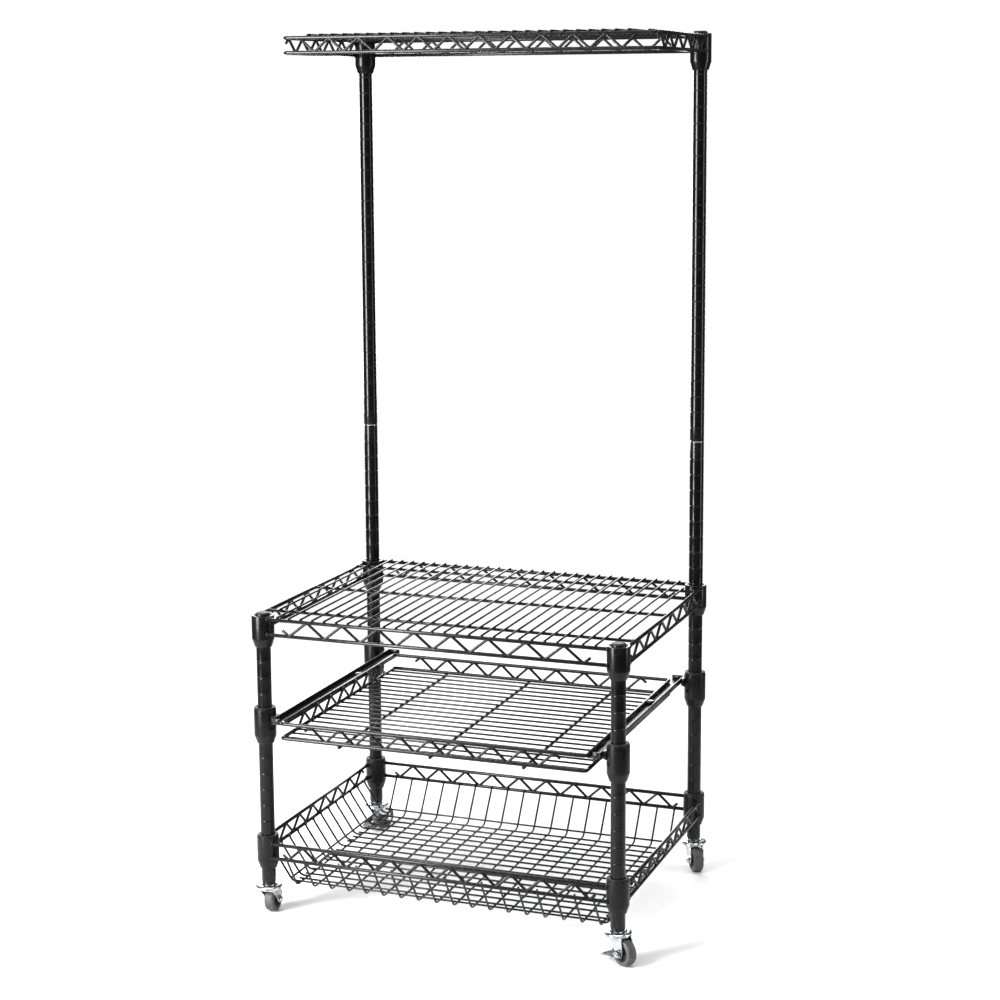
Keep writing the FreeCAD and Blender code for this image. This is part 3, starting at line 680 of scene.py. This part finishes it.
zc = TRAY_Z - (RAIL_R + CROSS_R) * AP
zm = zc + (CROSS_R + MAT_R) * AP - WELD
s = Shape()
cross = (-5.85 * U, 0.0, 5.85 * U)
for x in cross:
    s.tube([(x, TRAY_Y0 - 1.3, zc), (x, TRAY_Y1 + 1.3, zc)], CROSS_R, 10, cap="round")
    for y in (TRAY_Y0, TRAY_Y1):
        s.blob((x, y, zc + 2.3), 3.4, 3.0, 1.5)
for k in range(-9, 10):
    y = TC + k * 0.9 * U
    if TRAY_Y0 + 6 < y < TRAY_Y1 - 6:
        ya, yb = y + rnd.uniform(-0.3, 0.3), y + rnd.uniform(-0.3, 0.3)
        s.tube([(-TRAY_HX + 1.2, ya, zm), (TRAY_HX - 1.2, yb, zm)], MAT_R, 8, cap="round")
        for x in cross:
            s.blob((x, y, zm - 1.3), 2.8, 2.3, 1.3)
        for sg in (-1, 1):
            s.blob((sg * (TRAY_HX - 2.5), y, zm), 2.2, 2.4, 2.2)
make("skin_tray_mat", s, "tray_mat", "wire_black", sharp=55)

# ------------------------------------------------------------------ basket
FB_STEP, LR_STEP = 1.16 * U, 0.9 * U
fb = [(k + 0.5) * FB_STEP for k in range(-9, 9)]
lr = [k * LR_STEP for k in range(-7, 8)]
side_y = [k * FB_STEP for k in range(-6, 7)]
ZL = FLOOR_Z + 2 * MAT_R * AP - WELD
s = Shape()
for x in fb:
    s.tube([(x, -FLOOR_HY + 5, FLOOR_Z), (x, FLOOR_HY - 5, FLOOR_Z)], MAT_R, 8, cap="chamfer")
for y in lr:
    j = rnd.uniform(-0.3, 0.3)
    s.tube([(-FLOOR_HX, y + j, ZL), (FLOOR_HX, y - j, ZL)], MAT_R, 8, cap="round")
    for x in fb:
        s.blob((x, y, (FLOOR_Z + ZL) / 2), 2.3, 2.3, 1.7)
make("skin_basket_floor", s, "basket_floor", "wire_black", sharp=55)

ZR = BASKET_Z - BASKET_H
A_OUT = OUT - (RAIL_R + MAT_R) * AP


def wall(name, axis, sg):
    top = (HY if axis == "x" else HX) + A_OUT
    foot = (FLOOR_HY if axis == "x" else FLOOR_HX) + 4.5
    z_floor = FLOOR_Z if axis == "x" else ZL
    zf = z_floor + 1.5
    d = math.hypot(top - foot, ZR - zf)
    dn, dz = (top - foot) / d, (ZR - zf) / d
    s = Shape()

    def P(t, off, z):
        return Vector((t, sg * off, z)) if axis == "x" else Vector((sg * off, t, z))
    spots = fb if axis == "x" else side_y
    inward = foot - 11.5
    for t in spots:
        j = rnd.uniform(-0.35, 0.35)
        pts = [P(t, top + 0.1, ZR + 2.7), P(t, top - 0.2, ZR - 2.6), P(t + j, foot - 0.6, z_floor), P(t, inward, z_floor)]
        s.tube(round_path(pts, [0, 9.0, 13.0, 0], n=6), MAT_R, 8, cap="round")
        s.blob(P(t, top + 0.9, ZR), 2.5 if axis == "x" else 1.9, 1.9 if axis == "x" else 2.5, 2.5)
    q = 2 * MAT_R - WELD
    u = foot + dn * 5 - dz * q
    w = zf + dz * 5 + dn * q
    ext = spots[-1] + 5
    s.tube([P(-ext, u, w), P(ext, u, w)], MAT_R, 8, cap="round")
    for t in spots:
        s.blob(P(t, (u + foot + dn * 5) / 2, w - dn * 1.4), 2.1, 2.1, 2.1)
    make("skin_" + name, s, name, "wire_black", sharp=55)


wall("basket_front_wall", "x", -1)
wall("basket_rear_wall", "x", 1)
wall("basket_left_wall", "y", -1)
wall("basket_right_wall", "y", 1)

# ------------------------------------------------------------------ slide rails and their screws
for nm, sg in (("slide_rail_left", -1), ("slide_rail_right", 1)):
    s = Shape()
    prof = round_path([(SLIDE_IN, FL_TOP - SLIDE_T, 0), (SLIDE_OUT, FL_TOP - SLIDE_T, 0), (SLIDE_OUT, SLIDE_TOP, 0), (SLIDE_OUT - SLIDE_T, SLIDE_TOP, 0),
                       (SLIDE_OUT - SLIDE_T, FL_TOP, 0), (SLIDE_IN, FL_TOP, 0)], [0.7, 2.6, 0.7, 0.7, 0.7, 0.7], closed=True, n=5)
    s.prism([(sg * p.x, p.y) for p in prof], SLIDE_Y0, SLIDE_Y1, 0.4)
    for y0, x_in in ((SLIDE_Y0 + 0.05, 252.2), (SLIDE_Y1 - SLIDE_T - 0.05, SLIDE_IN + 0.3)):
        a, b = sorted((sg * (SLIDE_OUT - SLIDE_T - 0.6 + 0.9), sg * x_in))
        s.rbox(a, b, y0, y0 + SLIDE_T, FL_TOP - 0.4, SLIDE_TOP - 0.1, r=0.5)
    make("skin_" + nm, s, nm, "rail_black", sharp=45)

s = Shape()
for x, y in corners():
    sg = 1 if x > 0 else -1
    x0 = sg * (SLIDE_OUT - SLIDE_T)
    start = len(s.v)
    head = [(p.x, p.y) for p in round_path([(3.2, 0.0, 0), (3.2, 0.9, 0), (2.2, 1.8, 0)], [0, 0.8, 0], n=4)]
    s.lathe([(2.05, -2.1), (2.05, 0.0)] + head, 0, 0, 24, loop=False)
    hexa = lambda t, r, z: 1.0 / math.cos((t + math.pi / 6) % (math.pi / 3) - math.pi / 6)
    s.lathe([(2.2, 1.8), (1.7, 1.8)], 0, 0, 24, loop=False)
    s.lathe([(1.5, 1.8), (1.5, 0.7), (0, 0.7)], 0, 0, 24, loop=False, radial=hexa)
    s.lathe([(2.05, -2.1), (0, -2.1)], 0, 0, 24, loop=False)
    M = Matrix.Translation((x0, y, 319.0)) @ Matrix(((0, 0, -sg, 0), (0, 1, 0, 0), (sg, 0, 0, 0), (0, 0, 0, 1)))
    s.moved(M, start)
make("skin_slide_rail_screws", s, "slide_rail_screws", "rail_black")

# ------------------------------------------------------------------ casters
PLATE_Z = 42.0


def place(name):
    sx, sy, heading, _ = CASTERS[name]
    return Matrix.Translation((sx * HX, sy * HY, 0)) @ Matrix.Rotation(math.radians(heading), 4, "Z")


s = Shape()
for n in CASTERS:
    M = place(n)
    start = len(s.v)
    # rivet end, swivel head with its rolled rim, hexagon and threaded stem
    prof = round_path([(0, 39.4, 0), (6.2, 39.4, 0), (6.6, 40.6, 0), (5.6, 41.6, 0), (STEM_R - 0.05, 41.65, 0), (STEM_R - 0.05, 44.9, 0), (19.2, 44.9, 0),
                       (20.75, 45.3, 0), (20.75, 47.0, 0), (18.6, 48.9, 0), (14.2, 49.6, 0), (12.4, 50.9, 0), (9.0, 51.0, 0)],
                      [0, 0.8, 0.5, 0.2, 0, 0, 0.2, 0.6, 1.2, 2.0, 1.2, 0.8, 0], n=4)
    s.lathe([(max(0.0, p.x), p.y) for p in prof] + [(0, 51.0)], 0, 0, 56, loop=False)
    hexr = [(9.3 * math.cos(math.pi / 3 * i), 9.3 * math.sin(math.pi / 3 * i)) for i in range(6)]
    s.prism(hexr, 50.8, 52.3, 0.3, place=lambda a, y, b: Vector((a, b, y)))
    prof = [(0, 52.0)]
    z = 52.0
    prof.append((STEM_R - 0.1, 52.0))
    while z < 72:
        prof += [(STEM_R - 0.1, z + 0.2), (STEM_R - 0.6, z + 0.75), (STEM_R - 0.1, z + 1.3)]
        z += 1.5
    prof += [(STEM_R - 0.8, 74.0), (0, 74.0)]
    s.lathe(prof, 0, 0, 28, loop=False)
    s.moved(M, start)
make("skin_caster_stems", s, "caster_stems", "zinc")


def fork(name):
    s = Shape()
    disc = round_path([(STEM_R + 0.15, PLATE_Z, 0), (19.0, PLATE_Z, 0), (19.7, 44.5, 0), (16.5, 44.5, 0), (15.0, 43.6, 0), (STEM_R + 0.15, 43.6, 0)],
                      [0.2, 1.0, 0.5, 0.6, 0.6, 0.2], closed=True, n=4)
    s.lathe([(p.x, p.y) for p in disc], 0, 0, 56)
    # legs with a bend at the top, pressed out round the axle
    prof = [(-15.6, 42.5), (18.2, 42.5), (20.6, 37.0), (22.6, 25.0), (21.8, 19.0), (19.6, 15.4), (15.0, 13.4), (10.4, 15.2), (7.2, 20.5), (1.5, 28.0), (-7.0, 35.2)]
    out = round_path([(a, b, 0) for a, b in prof], [1.0, 3.0, 6.0, 6.0, 4.0, 4.0, 5.0, 4.0, 6.0, 12.0, 12.0], closed=True, n=4)
    out = [(p.x, p.y) for p in out]
    for sg in (-1, 1):
        y0, y1 = (FORK_IN, FORK_IN + FORK_T) if sg > 0 else (-FORK_IN - FORK_T, -FORK_IN)
        s.prism(out, y0, y1, 0.35)
        s.tube([(-15.4, sg * (FORK_IN + 0.2), PLATE_Z + 0.75), (18.0, sg * (FORK_IN + 0.2), PLATE_Z + 0.75)], 1.65, 12, cap="round")
        # stiffening rib down the edge of the leg
        rib = round_path([(-13.5, sg * (FORK_IN + FORK_T), 41.0), (-5.0, sg * (FORK_IN + FORK_T), 34.8), (3.0, sg * (FORK_IN + FORK_T), 27.8), (8.6, sg * (FORK_IN + FORK_T), 21.0)], 8.0, n=4)
        s.tube(rib, 0.32, 8)
        s.lathe([(0, sg * (FORK_IN + FORK_T - 0.2)), (6.6, sg * (FORK_IN + FORK_T - 0.2)), (6.4, sg * (FORK_IN + FORK_T + 0.22)), (5.7, sg * (FORK_IN + FORK_T + 0.3)), (0, sg * (FORK_IN + FORK_T + 0.3))],
                TRAIL, WHEEL_R, 36, loop=False, axis="y")
    s.moved(place(name))
    make("skin_caster_fork_" + name, s, "caster_fork_" + name, "zinc", sharp=40)


def axle(name, braked):
    s = Shape()
    n = FORK_IN + FORK_T + (2.3 if braked else 0.35)
    s.lathe([(0, -n - 4.6), (1.6, -n - 4.6), (2.7, -n - 4.2), (2.9, -n - 3.6), (2.95, n + 0.2), (0, n + 0.2)], TRAIL, WHEEL_R, 28, loop=False, axis="y")
    head = round_path([(0, n, 0), (5.2, n, 0), (5.2, n + 1.1, 0), (3.6, n + 2.0, 0), (0, n + 2.15, 0)], [0, 0.2, 0.9, 1.6, 0], n=4)
    s.lathe([(max(0.0, p.x), p.y) for p in head], TRAIL, WHEEL_R, 32, loop=False, axis="y")
    hexa = [(TRAIL + 5.4 * math.cos(math.pi / 3 * i), WHEEL_R + 5.4 * math.sin(math.pi / 3 * i)) for i in range(6)]
    s.prism(hexa, -n - 3.4, -n, 0.4)
    s.lathe([(0, -n - 0.5), (5.9, -n - 0.5), (5.9, -n), (0, -n)], TRAIL, WHEEL_R, 32, loop=False, axis="y")
    s.moved(place(name))
    make("skin_caster_axle_" + name, s, "caster_axle_" + name, "zinc", sharp=35)


def wheel(name):
    hw = WHEEL_W / 2
    s = Shape()
    prof = round_path([(13.6, -hw, 0), (17.6, -hw, 0), (19.3, -hw + 1.2, 0), (WHEEL_R, -hw + 3.2, 0), (WHEEL_R, hw - 3.2, 0), (19.3, hw - 1.2, 0),
                       (17.6, hw, 0), (13.6, hw, 0)], [0.3, 0.7, 1.6, 2.4, 2.4, 1.6, 0.7, 0.3], closed=True, n=4)
    prof = [(p.x, p.y) for p in prof]
    s.lathe(prof, TRAIL, WHEEL_R, 72, axis="y")
    s.moved(place(name))
    make("skin_caster_tyre_" + name, s, "caster_tyre_" + name, "tyre_grey", sharp=45)
    s = Shape()
    hubp = round_path([(AXLE_R + 0.1, -9.1, 0), (5.4, -9.1, 0), (5.6, -6.0, 0), (11.4, -5.6, 0), (11.8, -7.6, 0), (13.6, -7.6, 0), (13.6, 7.6, 0),
                       (11.8, 7.6, 0), (11.4, 5.6, 0), (5.6, 6.0, 0), (5.4, 9.1, 0), (AXLE_R + 0.1, 9.1, 0)],
                      [0.2, 0.5, 0.8, 0.8, 0.4, 0.3, 0.3, 0.4, 0.8, 0.8, 0.5, 0.2], closed=True, n=3)
    s.lathe([(p.x, p.y) for p in hubp], TRAIL, WHEEL_R, 60, axis="y")
    for k in range(6):
        start = len(s.v)
        for y0, y1 in ((5.2, 7.0), (-7.0, -5.2)):
            s.rbox(5.0, 12.2, y0, y1, -0.9, 0.9, r=0.35)
        s.moved(Matrix.Translation((TRAIL, 0, WHEEL_R)) @ Matrix.Rotation(math.radians(60 * k + 15), 4, "Y"), start)
    s.moved(place(name))
    make("skin_caster_hub_" + name, s, "caster_hub_" + name, "hub_plastic", sharp=40)


def pedal(name):
    s = Shape()
    y0 = FORK_IN + FORK_T + 0.35
    y1 = y0 + 1.6
    ang = math.radians(196.0)
    ex, ez = math.cos(ang), math.sin(ang)
    px, pz = -ez, ex

    def at(l, t):
        return (TRAIL + ex * l + px * t, WHEEL_R + ez * l + pz * t)
    line = [at(-5.0, -4.2), at(-5.0, 4.2), at(12, 4.6), at(25.0, 3.2), at(33.0, 2.2), at(33.0, -2.2), at(25.0, -3.4), at(12, -4.6)]
    arm = [(p.x, p.y) for p in round_path([(a, b, 0) for a, b in line], [4.0, 4.0, 12, 12, 2, 2, 12, 12], closed=True, n=5)]
    for sg in (-1, 1):
        a, b = (y0, y1) if sg > 0 else (-y1, -y0)
        s.prism(arm, a, b, 0.3)
    tread = [at(26.0, -1.4), at(26.0, 1.4), at(36.0, 1.4), at(38.5, 2.7), at(38.6, 0.4), at(36.3, -1.4)]
    tr = [(p.x, p.y) for p in round_path([(a, b, 0) for a, b in tread], [0.5, 0.5, 2.5, 0.5, 0.5, 2.5], closed=True, n=4)]
    s.prism(tr, -y1 + 0.02, y1 - 0.02, 0.5)
    for k in range(5):   # raised grip ribs across the tread
        q = at(28.0 + 1.8 * k, 1.4)
        s.tube([(q[0], -y1 + 2.5, q[1]), (q[0], y1 - 2.5, q[1])], 0.45, 8)
    s.moved(place(name))
    make("skin_brake_pedal_" + name, s, "brake_pedal_" + name, "pedal_black", sharp=40)


for n, (_, _, _, braked) in CASTERS.items():
    fork(n)
    axle(n, braked)
    wheel(n)
    if braked:
        pedal(n)

# ------------------------------------------------------------------ camera
yaw, pitch, roll = -0.36203, -0.15806, -0.00652
fwd = Vector((math.sin(yaw) * math.cos(pitch), math.cos(yaw) * math.cos(pitch), math.sin(pitch)))
right = Vector((math.cos(yaw), -math.sin(yaw), 0))
upv = right.cross(fwd)
r2 = right * math.cos(roll) + upv * math.sin(roll)
u2 = right * -math.sin(roll) + upv * math.cos(roll)
cam_data = bpy.data.cameras.new("camera")
cam_data.sensor_width = 36.0
cam_data.lens = 2166.46 * 36 / 1000
cam_data.shift_x = 0.010
cam_data.shift_y = -0.060
cam = bpy.data.objects.new("camera", cam_data)
bpy.context.scene.collection.objects.link(cam)
loc = Vector((46.89423, -122.79587, 49.88995)) * 0.0254
cam.matrix_world = Matrix(((r2.x, u2.x, -fwd.x, loc.x), (r2.y, u2.y, -fwd.y, loc.y), (r2.z, u2.z, -fwd.z, loc.z), (0, 0, 0, 1)))
cam_data.clip_start, cam_data.clip_end = 0.05, 100
bpy.context.scene.camera = cam

# ------------------------------------------------------------------ floor, world and lights
sh = Shape()
sh.lathe([(0, 0), (600, 0), (1500, 0), (3000, 0), (6000, 0)], 0, 0, 64, loop=False)
me = bpy.data.meshes.new("stage_floor")
me.from_pydata([(p.x * 0.001, p.y * 0.001, 0.0) for p in sh.v], [], [tuple(reversed(f)) for f in sh.f])
floor = bpy.data.objects.new("stage_floor", me)
bpy.context.scene.collection.objects.link(floor)
t = Tree("stage_pale")
tone = t.remap(t.noise(3.0, 5.0, 0.6), 0.3, 0.7, 0.0, 1.0)
t.link(t.mix(tone, (0.86, 0.86, 0.86), (0.90, 0.90, 0.90)), t.bsdf.inputs["Base Color"])
t.bsdf.inputs["Roughness"].default_value = 0.85
t.bsdf.inputs["Specular IOR Level"].default_value = 0.1
ln = t.new("ShaderNodeVectorMath", operation="LENGTH")
t.link(t.pos, ln.inputs[0])
fade = t.remap(ln.outputs["Value"], 0.75, 1.9, 0.0, 1.0)
mixs = t.new("ShaderNodeMixShader")
clear = t.new("ShaderNodeBsdfTransparent")
t.link(fade, mixs.inputs[0])
t.link(t.bsdf.outputs[0], mixs.inputs[1])
t.link(clear.outputs[0], mixs.inputs[2])
t.link(mixs.outputs[0], t.t.nodes["Material Output"].inputs["Surface"])
me.materials.append(t.mat)

world = bpy.context.scene.world or bpy.data.worlds.new("world")
bpy.context.scene.world = world
world.use_nodes = True
wt = world.node_tree
bg = wt.nodes["Background"]
lp = wt.nodes.new("ShaderNodeLightPath")
mr = wt.nodes.new("ShaderNodeMapRange")
mr.inputs[3].default_value = 0.15
mr.inputs[4].default_value = 1.0
wt.links.new(lp.outputs["Is Camera Ray"], mr.inputs[0])
wt.links.new(mr.outputs[0], bg.inputs["Strength"])
bg.inputs["Color"].default_value = (1.0, 1.0, 1.0, 1.0)


def softbox(name, pos, target, size, size_y, power):
    l = bpy.data.lights.new(name, "AREA")
    l.shape = "RECTANGLE"
    l.size, l.size_y, l.energy = size, size_y, power
    o = bpy.data.objects.new(name, l)
    o.location = pos
    o.visible_camera = False
    d = Vector(target) - Vector(pos)
    o.rotation_euler = d.to_track_quat("-Z", "Y").to_euler()
    bpy.context.scene.collection.objects.link(o)


softbox("key", (-1.35, -1.95, 1.4), (-0.1, -0.1, 1.3), 0.85, 2.7, 190)
softbox("fill", (2.3, 0.35, 1.3), (0, 0, 1.2), 0.4, 2.5, 26)
softbox("top", (0.2, -0.4, 3.6), (0, 0, 0.5), 3.0, 3.0, 72)
softbox("back", (-1.75, 2.9, 1.35), (0.1, -0.1, 0.5), 3.4, 2.2, 170)

bpy.context.scene.view_settings.view_transform = "Standard"
bpy.context.scene.view_settings.gamma = 0.86
